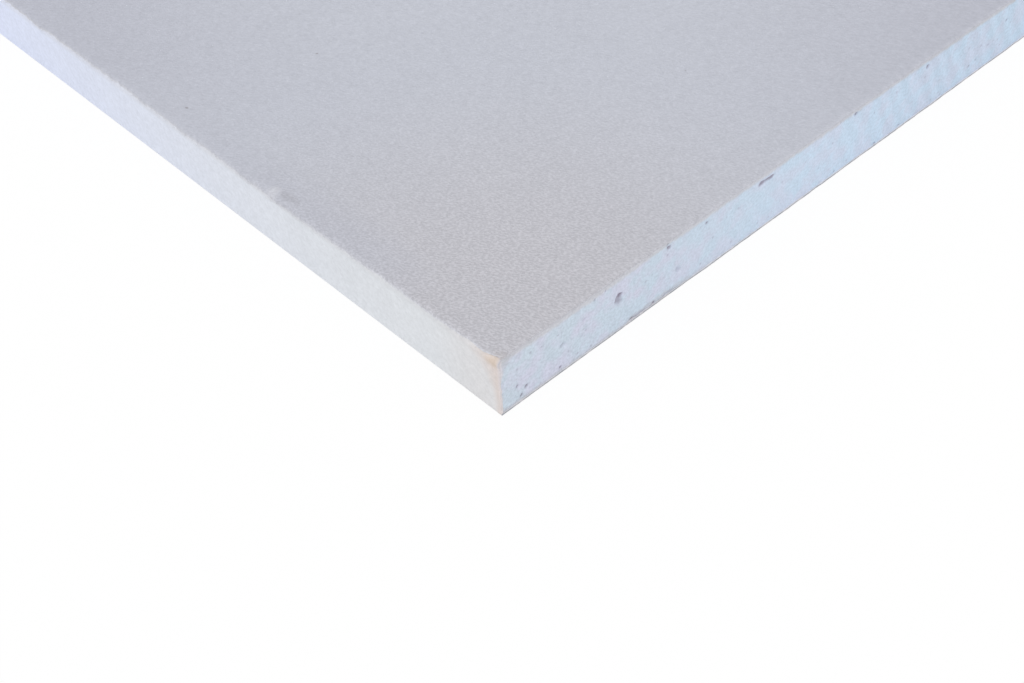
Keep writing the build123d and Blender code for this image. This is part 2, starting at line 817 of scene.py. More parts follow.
@dataclass(frozen=True)
class IvoryFacePaper(Finish):
    """Ivory face paper, calendered smooth on its outer side.

    That makes it pale and nearly even, but for painted light that makes it bluer away from the bruised
    corner.
    It is greyer in a band along the fold just under the liner's edge, and scuffed and yellowed at the bruised
    corner. Where its plies are cut through it is dusty, greyer high on the cut ends of the long edges, where
    it was trimmed, and dark where the blade left the underside's paper: partly its grey inner plies, partly
    painted shade from the floor.

    The felt of its fibres is drawn 0.9 mm wide, as coarse as it has to be to show.
    """

    roughness: float = 0.62
    specular: float = 0.3
    relief_depth: float = 0.012
    # near and far: painted light, the light's bluer tint growing away from the bruised corner
    near: str = "#E2E5E9"
    far: str = "#E0E7FD"
    under_lap: str = "#C9C8CC"
    scuffed: str = "#DED2CD"
    bruised: str = "#D8C6B4"
    dusty: str = "#E5DEDF"
    trimmed: str = "#CBCBD3"
    # plies: the dark line along the underside's cut edge, partly grey inner plies and partly painted shade
    # from the floor
    plies: str = "#718190"
    near_to_far: Span = Span(0, 200)
    felt: Grain = Grain(0.9, 3.0, 0.75)
    clouds: Grain = Grain(9.0)
    fibres: Grain = Grain(1.6, 3.0, 0.65)
    streaks: Grain = Grain(3.0, 3.0, 0.65)
    under_lap_band: Span = Span(-1.6, -0.2, 0.0, 0.36)  # by the height from the wrap's top
    under_lap_ragged: float = 0.8
    grubby: Span = Span(18, 4, 0.0, 0.24)  # by the distance from the corner
    scuff_edge: Span = Span(10.5, 1.6, 0.0, 0.9)
    scuff_ragged: float = 3.2
    scuff_narrowing: float = 4.6  # how much narrower the scuff is at the foot than at the top
    bruise_at: tuple[float, float, float] = (0.0, 1.1, -0.9)  # from the corner at the wrap's top
    bruise_along: float = 0.5
    bruise_edge: Span = Span(2.4, 0.8, 0.0, 0.7)
    bruise_ragged: float = 1.5
    trimmed_from: Span = Span(-2.2, -0.6)  # by the height from the wrap's top
    cut_edge: Step = Step(0.0, 0.9)
    plies_and_shade_height: Span = Span(0.46, 0.2, 0.0, 0.8)
    plies_and_shade_edge: Step = Step(0.2, 0.9)
    streak_edge: Step = Step(0.3, 0.6, 0.25, 0.95)
    bright: float = 0.80
    felt_amount: float = 0.35
    cloud_amount: float = 0.06

    def make(self) -> bpy.types.Material:
        """Builds the material.

        Returns:
            The finished material.
        """
        material, at = self.start("ivory_face_paper_calendered")
        from_side, from_end, height = self.from_corner(at)
        reach = from_end + from_side
        top = self.board.wrap_height
        felt = self.felt(at)
        # Painted light: bluer away from the bruised corner.
        colour = mixed(self.near_to_far(reach), self.near, self.far)
        # Greyer in a band just under the liner's lap edge.
        under_lap = self.under_lap_band.raised(top)(height.ragged(felt, self.under_lap_ragged))
        colour = mixed(under_lap, colour, self.under_lap)
        colour = mixed(self.grubby(reach), colour, self.scuffed)
        narrowing = Span(top, 0, 1.0, self.scuff_narrowing)(height)
        scuff = (reach * narrowing).ragged(self.fibres(at), self.scuff_ragged)
        colour = mixed(self.scuff_edge(scuff), colour, self.scuffed)
        bruise = self.reach(at, self.spot(top, self.bruise_at), self.bruise_along)
        colour = mixed(self.bruise_edge(bruise.ragged(felt, self.bruise_ragged)), colour, self.bruised)
        torn = self.mark(at, Mark.TORN)
        cut = mixed(self.trimmed_from.raised(top)(height), self.dusty, self.trimmed)
        colour = mixed(self.cut_edge(torn), colour, cut)
        # The dark line along the foot of the cut ends: grey inner plies, with painted shade from the floor.
        under = self.plies_and_shade_edge(torn) * self.plies_and_shade_height(height) * self.streak_edge(self.streaks(at))
        colour = mixed(under, colour, self.plies)
        bright = self.bright + felt * self.felt_amount + self.clouds(at) * self.cloud_amount
        return self.close(material, colour, bright, felt)


@dataclass(frozen=True)
class CastGypsum(Finish):
    """Foamed gypsum, cast between the papers and cut through when dry.

    That makes it a chalky bluish white, quite matt, finely mottled with lilac; painted light makes it bluer
    away from the bruised corner. It is greyer in a band just under the liner, and pinker with paper dust down
    the bruised corner's upright edge. The blade has smeared it along its foot and at that corner. Its holes
    are darkened violet-grey inside with painted shade and some grey dust. Past the close mesh they are
    painted alone, as dark dots.

    Its crystals are a few hundredths of a millimetre long, so the grain is drawn 0.5 mm wide to show.
    """

    roughness: float = 0.95
    specular: float = 0.15
    relief_depth: float = 0.03
    # near and far: painted light, the light's bluer tint growing away from the bruised corner
    near: str = "#D3DFEB"
    far: str = "#D3E6F9"
    lilac: str = "#D9D8EA"
    # dusty: the grey of the band just under the liner
    dusty: str = "#D5D5DB"
    smeared: str = "#C7CAD1"
    paper: str = "#E6DFE2"
    # holes: the violet-grey inside a hole, painted shade with some grey dust
    holes: str = "#9D96A6"
    near_to_far: Span = Span(0, 100)
    blotches: Grain = Grain(3.6)
    blotch_amount: float = 0.07
    grain: Grain = Grain(0.5, 2.0, 0.6)
    grain_amount: Span = Span(45, 20, 0.38, 0.48)  # by the distance from the long edge
    soft: Grain = Grain(1.4)
    soft_amount: float = 0.05
    saw_amount: float = 0.033
    lilac_edge: Step = Step(0.36, 0.68)
    lilac_spared: Span = Span(25, 60, 0.75, 0.45)
    height_ragged: float = 0.9
    under_liner_band: Span = Span(-0.8, 0.2, 0.0, 0.9)  # by the height from the wrap's top
    under_liner_deeper: Span = Span(40, 20, 0.0, 0.6 * MM)  # how much lower the band goes by the corner
    foot_smear: Span = Span(1.6, 0.9)  # by the height
    foot_smear_spared: Span = Span(60, 35, 0.1, 0.65)
    broken_from: Span = Span(28, 30)  # where the foot has broken off and the smear reaches higher
    broken_to: Span = Span(46, 41)
    broken_higher: float = 0.5
    rub_at: tuple[float, float, float] = (1.3, 0.0, -0.9)  # from the corner at the wrap's top
    rub_edge: Span = Span(3.2, 1.4, 0.0, 0.7)
    rub_ragged: float = 1.6
    frayed_edge: Span = Span(2.2, 1.2, 0.0, 0.8)  # the paper dust down the upright edge
    frayed_ragged: float = 1.4
    frayed_narrower: Span = Span(8.5, 6.5, 0.0, 0.6 * MM)  # and how much narrower it is low down
    hole_shade: Step = Step(0.0, 1.0, 0.0, 0.95)
    bright: float = 0.942
    far_dimmer: Span = Span(75, 120, 0.0, -0.045)
    # The painted bubbles: dark dots of painted shade where the mesh carries no holes.
    bubble_spacing: float = 6.0
    bubble_size: Step = Step(0.3, 1.0, -0.03, 0.06)  # by the dot's own number, in spacings
    bubble_edge: Step = Step(0.015, -0.02, 0.0, 0.6)
    drawn_past: Span = Span(192, 200)  # along the near end, where its close mesh ends
    drawn_beyond: Span = Span(1100, 1200)  # along the board, so all over the far end

    def make(self) -> bpy.types.Material:
        """Builds the material.

        Returns:
            The finished material.
        """
        material, at = self.start("cast_gypsum_foamed_and_cut")
        from_side, from_end, height = self.from_corner(at)
        blotches, grain, soft = self.blotches(at), self.grain(at), self.soft(at)
        reach = self.reach(at, self.spot(self.board.thickness / 2))
        # Painted light: bluer away from the bruised corner.
        colour = mixed(self.near_to_far(reach), self.near, self.far)
        colour = mixed(self.lilac_edge(blotches) * self.lilac_spared(from_side), colour, self.lilac)
        colour = self.dirtied(at, colour, soft)
        # Painted shade darkens the holes and the painted bubbles, with some grey dust.
        bubbles = self.bubbles(from_side, from_end, height)
        hole_shade_and_dust = self.mark(at, Mark.HOLE_SHADE_AND_DUST).join("MAXIMUM", bubbles)
        colour = mixed(self.hole_shade(hole_shade_and_dust), colour, self.holes)
        bright = self.bright + (grain - 0.5) * self.grain_amount(from_side) + self.far_dimmer(from_side)
        bright = bright + blotches * self.blotch_amount + soft * self.soft_amount
        bright = bright + self.mark(at, Mark.SAWN) * self.saw_amount
        return self.close(material, colour, bright, grain)

    def dirtied(self, at: Value, colour: Value, soft: Value) -> Value:
        """Colours the grey band under the liner, the paper dust down the upright edge, and what the blade has
        smeared.

        Args:
            at: the coordinates, in metres.
            colour: the clean gypsum's colour.
            soft: the pattern that frays the edges of these marks.

        Returns:
            The colour with the marks.
        """
        from_side, _, height = self.from_corner(at)
        top = self.board.wrap_height
        uneven = height.ragged(soft, self.height_ragged)
        # The grey band just under the liner, reaching lower by the corner.
        dust = uneven + self.under_liner_deeper(from_side)
        colour = mixed(self.under_liner_band.raised(top)(dust), colour, self.dusty)
        broken = self.broken_from(from_side) * self.broken_to(from_side)
        foot = self.foot_smear(uneven + broken * (-self.broken_higher * MM))
        foot = foot * self.foot_smear_spared(from_side)
        rub = self.reach(at, self.spot(top, self.rub_at)).ragged(soft, self.rub_ragged)
        colour = mixed(foot.join("MAXIMUM", self.rub_edge(rub)), colour, self.smeared)
        frayed = from_side.ragged(soft, self.frayed_ragged) + self.frayed_narrower(height)
        return mixed(self.frayed_edge(frayed), colour, self.paper)

    def bubbles(self, from_side: Value, from_end: Value, height: Value) -> Value:
        """Paints the shade of small air bubbles, as dark dots, where the mesh is too wide to carry them: past
        the close part of the near end, and all over the far end.

        Args:
            from_side: the distance from the long edge at -X, in metres.
            from_end: the distance from the near end, in metres.
            height: the height above the underside, in metres.

        Returns:
            How dark the bubbles make each place.
        """
        drawn = self.drawn_past(from_side).join("MAXIMUM", self.drawn_beyond(from_end))
        face = Value(add(height.tree, "ShaderNodeCombineXYZ", {0: from_side, 1: height}))
        away, own = self.strewn(face, self.bubble_spacing, "2D")
        return self.bubble_edge(away - self.bubble_size(own)) * drawn


@dataclass(frozen=True)
class LooseFibre(Finish):
    """Loose paper fibre, torn up where a blade has gone through the plies: pale and without any shine."""

    relief_depth: float = 0.004
    fibre: str = "#C6C7CE"
    tip: str = "#D9D8DC"
    variety: Grain = Grain(1.5)
    fuzz: Grain = Grain(0.2)
    bright: float = 0.9
    variety_amount: float = 0.2

    def make(self) -> bpy.types.Material:
        """Builds the material.

        Returns:
            The finished material.
        """
        material, at = self.start("paper_fibre_torn")
        variety = self.variety(at)
        colour = mixed(variety, self.fibre, self.tip)
        return self.close(material, colour, self.bright + variety * self.variety_amount, self.fuzz(at))


@dataclass
class BackLiner:
    """The grey back liner: flat over the back, its long edges bent down over the upper arrises.

    Attributes:
        board: the board's sizes.
        seen: how far from the bruised corner the fine detail goes.
        lap_thin: how much further the thinned edge laps than it can be made out, in degrees.
        lap_wander: how far the lap angle strays from place to place, in degrees.
        lap_noise: how that straying is made up.
        lap_least: the smallest lap angle, in degrees.
        feather: how thick the lap's edge is beside the liner's own thickness.
        feather_from: the share of the lap angle at which the edge starts to thin.
        fray: how far the cut ends stray along the board.
        fray_noise: how that straying is made up.
        fray_reach: how far in from the cut end it is felt.
        droop: how far the top of a cut end is pressed down by the blade.
        droop_noise: how uneven that is.
        droop_reach: how far in from the cut end the pressed part goes.
        skirt: how far torn plies hang down over the cut face.
        skirt_noise: how uneven that is.
        lift: how far the liner has come up at the bruised corner.
        lift_reach: how far from the corner it has come up.
        lap_pale: how torn and pale the lap's thin edge looks, 0 to 1.
        cut_pale: the same for the cut ends; their flat part is darker within 80 mm of the edge at -X.
        lap_seen: for the long edge at the bruised corner, distances from the corner and the angle made out.
        bend: shares of the lap angle, from the lap's edge to the flat.
    """

    board: Board
    seen: float = 198.0
    lap_thin: float = 6.0
    lap_wander: float = 17.0
    lap_noise: Layers = ((0.42, 3.6, 5), (0.34, 1.1, 15), (0.24, 0.45, 25))
    lap_least: float = 4.0
    feather: float = 0.12
    feather_from: float = 0.45
    fray: float = 0.05
    fray_noise: Layers = ((0.6, 1.3, 31), (0.4, 0.45, 32))
    fray_reach: float = 1.2
    droop: float = 0.20
    droop_noise: Layers = ((0.15, 2.2, 33), (0.15, 0.6, 35))
    droop_reach: float = 0.9
    skirt: float = 0.32
    skirt_noise: Layers = ((0.5, 1.6, 43), (0.4, 0.5, 44))
    lift: float = 0.10
    lift_reach: float = 6.0
    lap_pale: float = 0.85
    cut_pale: float = 0.35
    lap_seen: tuple[tuple[float, float], ...] = (
        (0, 14), (1.5, 23), (3.5, 38), (6, 44), (9, 44), (14, 52), (22, 46), (30, 54), (35, 51), (42, 57),
        (58, 63), (66, 56), (80, 53), (100, 54), (116, 49), (131, 43), (138, 56), (146, 44), (160, 50),
    )
    bend: np.ndarray = field(default_factory=lambda: np.array([1.0, 0.94, 0.86, 0.76, 0.62, 0.45, 0.25, 0.0]))

    def lap(self, y: float, side: int) -> float:
        """How far round the arris the liner laps at a place along it.

        Args:
            y: the place along the board.
            side: -1 for the edge at -X, 1 for the one at +X.

        Returns:
            The angle in radians.
        """
        stray = float(layered(self.lap_noise, y, shift=side))
        angle = self.board.lap_angle
        if side < 0:
            angle = float(np.interp(y + self.board.half_length, *zip(*self.lap_seen)))
        return math.radians(max(self.lap_least, angle + self.lap_thin + self.lap_wander * stray))

    def arc(self, y: float, side: int, inner: bool) -> np.ndarray:
        """One bent edge's points at a place along it, from its lap edge to the flat.

        Args:
            y: the place along the board.
            side: -1 or 1, as for lap.
            inner: True for the liner's underside.

        Returns:
            The points.
        """
        board = self.board
        angle = self.lap(y, side) * self.bend
        thin = 1 - (1 - self.feather) * smooth((self.bend - self.feather_from) / (1 - self.feather_from))
        radius = board.arris_radius + (0 if inner else board.liner * thin)
        x = side * (board.arris_middle + radius * np.sin(angle))
        z = board.wrap_height - board.arris_radius + radius * np.cos(angle)
        return np.stack([x, np.full_like(x, y), z], 1)

    def settle(self, points: np.ndarray) -> np.ndarray:
        """Frays the cut ends, presses their tops down and lifts the bruised corner.

        Args:
            points: the points of an undisturbed liner.

        Returns:
            The points as they lie.
        """
        board = self.board
        x, y, z = points.T
        away = np.hypot(x + board.half_width, y + board.half_length)
        pressed = board.by_ends(y, self.droop_reach) ** 2
        # The blade presses the top down, and the underside stays on the core.
        topmost = smooth((z - board.wrap_height - 0.02) / (board.liner - 0.04))
        z = z - self.droop * pressed * (0.8 + layered(self.droop_noise, x)) * topmost
        y = y + self.fray * (0.8 + layered(self.fray_noise, x)) * board.by_ends(y, self.fray_reach)
        up = smooth(1 - away / self.lift_reach) * (0.8 + 0.3 * Wander(1.7, 34)(x, y))
        return np.stack([x, y, z + self.lift * up], 1)

    def rows_at(self, y: float, across: np.ndarray) -> tuple[list[np.ndarray], ...]:
        """The rows of one round of the liner.

        Args:
            y: the place along the board.
            across: places across the flat part, from -X to +X.

        Returns:
            The points of each row, how far along its row each lies, and how torn the liner is there.
        """
        board = self.board
        flat = np.stack([across, np.full_like(across, y), np.full_like(across, board.thickness)], 1)
        under = flat[::-1] - [0, 0, board.liner]
        tops, soles = ([self.arc(y, side, inner) for side in (-1, 1)] for inner in (False, True))
        rows = [tops[0], flat, tops[1][::-1], np.stack([tops[1][0], soles[1][0]]),
                soles[1], under, soles[0][::-1], np.stack([soles[0][0], tops[0][0]])]
        steps = np.arange(len(self.bend), dtype=float)
        alongs = [steps, across, steps, np.arange(2.0), steps, -across[::-1], steps, np.arange(2.0)]
        from_end = board.half_length - abs(y)
        cut = self.cut_pale * max(0.0, 1 - from_end / self.droop_reach)
        bent = np.maximum(self.lap_pale * self.bend**2.5, cut)
        pale = cut * (0.45 + 0.55 * smooth((across + board.half_width - 30) / 50))
        torn = [bent, pale, bent[::-1], np.ones(2), bent, pale[::-1], bent[::-1], np.ones(2)]
        return [self.settle(row) for row in rows], alongs, torn

    def cut_end(self, shell: Shell, ring: list[Run], outwards: int) -> None:
        """Closes a cut end with a burr of torn plies that hang down over the cut face.

        Args:
            shell: the shell to close.
            ring: the end's round.
            outwards: -1 at the near end, 1 at the far one.
        """
        top = np.concatenate([ring[0].numbers[:-1], ring[1].numbers[:-1], ring[2].numbers])
        sole = np.concatenate([ring[4].numbers[:-1], ring[5].numbers[:-1], ring[6].numbers])[::-1]
        points = np.concatenate(shell.points)
        x = points[top][:, 0]
        middle, hem = (points[top] + points[sole]) / 2, points[sole].copy()
        middle[:, 1] += outwards * 0.03 * (1 + Wander(0.6, 41)(x))
        hem[:, 1] = outwards * (self.board.half_length + 0.01 * Wander(0.7, 42)(x))
        inside = smooth((self.board.arris_middle + 0.9 - np.abs(x)) / 0.5)
        long = 1 + 0.8 * smooth((3.0 - self.board.half_width - x) / 2.0)
        uneven = np.clip(0.55 + layered(self.skirt_noise, x), 0, 1)
        hem[:, 2] -= self.skirt * inside * long * uneven
        torn = [shell.add(row, {Mark.TORN: share}) for row, share in ((middle, 0.5), (hem, 0.75))]
        shell.cap([top, *torn, sole])

    def build(self) -> bpy.types.Object:
        """Makes the liner's mesh.

        Returns:
            The piece.
        """
        board, length = self.board, 2 * self.board.half_length
        fine = spaced(-board.arris_middle, (self.seen - board.half_width, 0.4), (board.arris_middle, 3.0))
        coarse = spaced(-board.arris_middle, (board.arris_middle, 400.0))
        near = [0, 0.12, 0.25, 0.4, 0.6, 0.9, 1.2, 1.6, 2.4, 3.5, 5.0, 7.0]  # closest where the blade went
        rest = spaced(9.0, (self.seen, 0.4), (length - 3, 5.0))
        far = [length - 1.2, length - 0.9, length - 0.4, length]
        zones = ((near, fine), (rest, coarse), (far, fine))
        shell = Shell()
        rings = [shell.ring(*self.rows_at(place - board.half_length, across))
                 for places, across in zones for place in places]
        shell.tube(rings)
        self.cut_end(shell, rings[0], -1)
        self.cut_end(shell, rings[-1], 1)
        return shell.object("back_liner_grey")


@dataclass
class FaceWrap:
    """The ivory face paper: under the board, up both long edges and back over them as flaps.

    Attributes:
        board: the board's sizes.
        seen: how far from the bruised corner the fine detail goes.
        sag: how far the paper on a long edge lies in from true, at most.
        sag_noise: how uneven that is.
        dent: how far it is pressed in at the bruised corner.
        dent_noise: how it is creased there.
        dent_reach: how far along the edge the dent goes.
        crease: the radius of the tight lower fold on the paper's outer face.
        fray: how far the cut ends stray along the board.
        fray_noise: how that straying is made up.
        fray_reach: how far in from the cut end it is felt.
        drawn_in: how much further the upper part of a cut end is drawn in.
        burr: how far the blade has left the underside's paper proud of the core's cut ends.
        burr_from: how far from the long edge at -X it does so.
        torn: how torn the paper is along its cut ends, 0 to 1.
        turn: angles round an arris, from one side of it to the other.
    """

    board: Board
    seen: float = 198.0
    sag: float = 0.07
    sag_noise: Layers = ((0.35, 11, 51), (0.15, 3.2, 52))
    dent: float = 0.07
    dent_noise: Layers = ((0.6, 1.1, 53), (0.4, 0.5, 54))
    dent_reach: float = 4.0
    crease: float = 0.2
    fray: float = 0.03
    fray_noise: Layers = ((0.6, 0.9, 55), (0.4, 0.35, 56))
    fray_reach: float = 0.8
    drawn_in: float = 0.07
    burr: float = 0.1
    burr_from: float = 44.0
    torn: float = 0.55
    turn: np.ndarray = field(default_factory=lambda: np.linspace(0, math.pi / 2, 7))

    def half(self, y: float, inset: float, side: np.ndarray, flap: np.ndarray) -> list[np.ndarray]:
        """The rows of the left half of the wrap, from the flap's end to the underside.

        Args:
            y: the place along the board.
            inset: 0 for the outer face of the paper, its thickness for the inner one.
            side: shares of the way down the long edge.
            flap: shares of the way from the flap's end to the arris.

        Returns:
            The points of the flap, the upper arris, the edge and the lower arris.
        """
        board = self.board
        radius, middle = board.arris_radius - inset, board.arris_middle
        fold = self.fold(inset)
        top, foot, reach = board.wrap_height - board.arris_radius, inset + fold, board.half_width - inset
        outline = [
            (-(board.flap_end + (middle - board.flap_end) * flap), np.full_like(flap, top + radius)),
            (-(middle + radius * np.sin(self.turn)), top + radius * np.cos(self.turn)),
            (np.full_like(side, -reach), top + (foot - top) * side),
            (-(reach - fold + fold * np.cos(self.turn)), foot - fold * np.sin(self.turn)),
        ]
        return [np.stack([x, np.full_like(x, y), z], 1) for x, z in outline]

    def fold(self, inset: float) -> float:
        """The radius of the tight lower fold on the paper's outer face, or nearly none on its inner one."""
        return max(self.crease - inset, 0.02)

    def settle(self, points: np.ndarray) -> np.ndarray:
        """Lets the edges sag between the folds, frays the ends and bruises the corner.

        Args:
            points: the points of an undisturbed wrap.

        Returns:
            The points as they lie.
        """
        board = self.board
        x, y, z = points.T
        # The paper sags on the edge alone, between the folds that hold it.
        on_edge = smooth((np.abs(x) - board.arris_middle) / 0.8)
        on_edge = on_edge * smooth((z - 0.4) / 1.6) * smooth((board.wrap_height - 0.6 - z) / 1.6)
        corner = smooth(1 - (y + board.half_length) / self.dent_reach) * (x < 0)
        dips = self.sag * (0.5 + layered(self.sag_noise, y, z))
        x = x - np.sign(x) * on_edge * (dips + corner * self.dent * (1 + layered(self.dent_noise, y, z)))
        ends = board.by_ends(y, self.fray_reach)
        upper = smooth((z - 0.5) / 2.0) * smooth((np.abs(x) - board.arris_middle + 1) / 1.0)
        y = y + (self.fray + self.drawn_in * upper) * (0.5 + layered(self.fray_noise, x + z)) * ends
        # The blade has pushed the paper out along the underside.
        pushed = smooth((x + board.half_width - self.burr_from) / 5) * smooth((0.6 - z) / 0.3)
        y = y - self.burr * pushed * (1 + 0.4 * Wander(2.1, 57)(x)) * ends
        return np.stack([x, y, z], 1)

    def rows_at(self, y: float, side: np.ndarray, flap: np.ndarray,
                under: np.ndarray) -> tuple[list[np.ndarray], ...]:
        """The rows of one round of the wrap.

        Args:
            y: the place along the board.
            side: shares of the way down a long edge.
            flap: shares of the way along a flap.
            under: places across the underside, from -X to +X.

        Returns:
            The points of each row, how far along its row each lies, and how torn the paper is there.
        """
        board = self.board
        flip = np.array([-1, 1, 1])
        rows = []
        for inset in (0.0, board.face_paper):
            left = self.half(y, inset, side, flap)
            right = [row[::-1] * flip for row in left[::-1]]
            reach = board.half_width - inset - self.fold(inset)
            across = np.clip(under, -reach, reach)
            below = np.stack([across, np.full_like(under, y), np.full_like(under, inset)], 1)
            rows.append([*left, below, *right])
        outer, inner = rows[0], [row[::-1] for row in rows[1][::-1]]
        around = [*outer, np.stack([outer[-1][-1], inner[0][0]]),
                  *inner, np.stack([inner[-1][-1], outer[0][0]])]
        down = [flap, self.turn, side, self.turn]
        up = [self.turn, 1 - side[::-1], self.turn, 1 - flap[::-1]]
        alongs = [*down, under, *up, np.arange(2.0), *down, -under[::-1], *up, np.arange(2.0)]
        cut = self.torn * max(0.0, 1 - (board.half_length - abs(y)) / 0.7)
        return [self.settle(row) for row in around], alongs, [np.full(len(row), cut) for row in around]

    def cut_end(self, shell: Shell, ring: list[Run], outwards: int) -> None:
        """Closes a cut end with the torn plies between the paper's two faces.

        Args:
            shell: the shell to close.
            ring: the end's round.
            outwards: -1 at the near end, 1 at the far one.
        """
        outer = np.concatenate([*[run.numbers[:-1] for run in ring[:8]], ring[8].numbers])
        inner = np.concatenate([*[run.numbers[:-1] for run in ring[10:18]], ring[18].numbers])[::-1]
        points = np.concatenate(shell.points)
        middle = (points[outer] + points[inner]) / 2
        middle[:, 1] += outwards * 0.02 * (1 + Wander(0.5, 61)(middle[:, 0] + middle[:, 2]))
        shell.cap([outer, shell.add(middle, {Mark.TORN: 1.0}), inner])

    def build(self) -> bpy.types.Object:
        """Makes the wrap's mesh.

        Returns:
            The piece.
        """
        board, length = self.board, 2 * self.board.half_length
        edge = board.half_width - board.face_paper
        fine_under = spaced(-edge, (self.seen - board.half_width, 0.4), (edge, 3.0))
        coarse_under = spaced(-edge, (edge, 400.0))
        # How many points each mesh has down a long edge and along a flap
        counts = ((25, 40), (13, 2), (7, 2))
        fine, middling, plain = ([np.linspace(0, 1, count) for count in pair] for pair in counts)
        near = [0, 0.12, 0.3, 0.6, 1.0, 1.6, 2.4, 3.4, 4.6]  # closest where the blade went
        zones = (
            (near, fine, fine_under),
            (spaced(6.0, (self.seen, 1.0)), middling, coarse_under),
            (spaced(self.seen + 6, (length - 3, 10.0)), plain, coarse_under),
            ([length - 0.6, length], fine, fine_under),
        )
        shell = Shell()
        rings = [shell.ring(*self.rows_at(place - board.half_length, side, flap, under))
                 for places, (side, flap), under in zones for place in places]
        shell.tube(rings)
        self.cut_end(shell, rings[0], -1)
        self.cut_end(shell, rings[-1], 1)
        return shell.object("face_paper_wrap")


@dataclass(frozen=True)
class Pit:
    """A hole left by an air bubble or a lost crumb in the near cut face, in millimetres.

    Attributes:
        across: its distance from the bruised corner.
        height: its height above the underside.
        width: its width.
        tall: its height from lip to lip.
        depth: how deep it goes.
        lean: how far it leans to the right, in degrees.
        dark: how dark it is painted inside, 0 to 1: painted shade with some grey dust.
        LIP: the shares of its size between which its wall goes down.
        RAGGED: how far its outline strays, beside its size.
    """

    across: float
    height: float
    width: float
    tall: float
    depth: float = 0.7
    lean: float = 0.0
    dark: float = 0.8
    LIP: ClassVar[tuple[float, float]] = (1.2, 0.65)
    RAGGED: ClassVar[float] = 0.28

    def share_at(self, across: np.ndarray, height: np.ndarray) -> np.ndarray:
        """How far down the pit each place lies.

        Args:
            across: distances from the bruised corner.
            height: heights above the underside.

        Returns:
            Shares from 0, outside, to 1 at the bottom.
        """
        turn = math.radians(self.lean)
        x, z = across - self.across, height - self.height
        u, v = x * math.cos(turn) - z * math.sin(turn), x * math.sin(turn) + z * math.cos(turn)
        away = np.hypot(u / (self.width / 2), v / (self.tall / 2))
        away = away + self.RAGGED * Wander(0.55, 71)(across, height)
        return smooth((self.LIP[0] - away) / (self.LIP[0] - self.LIP[1]))


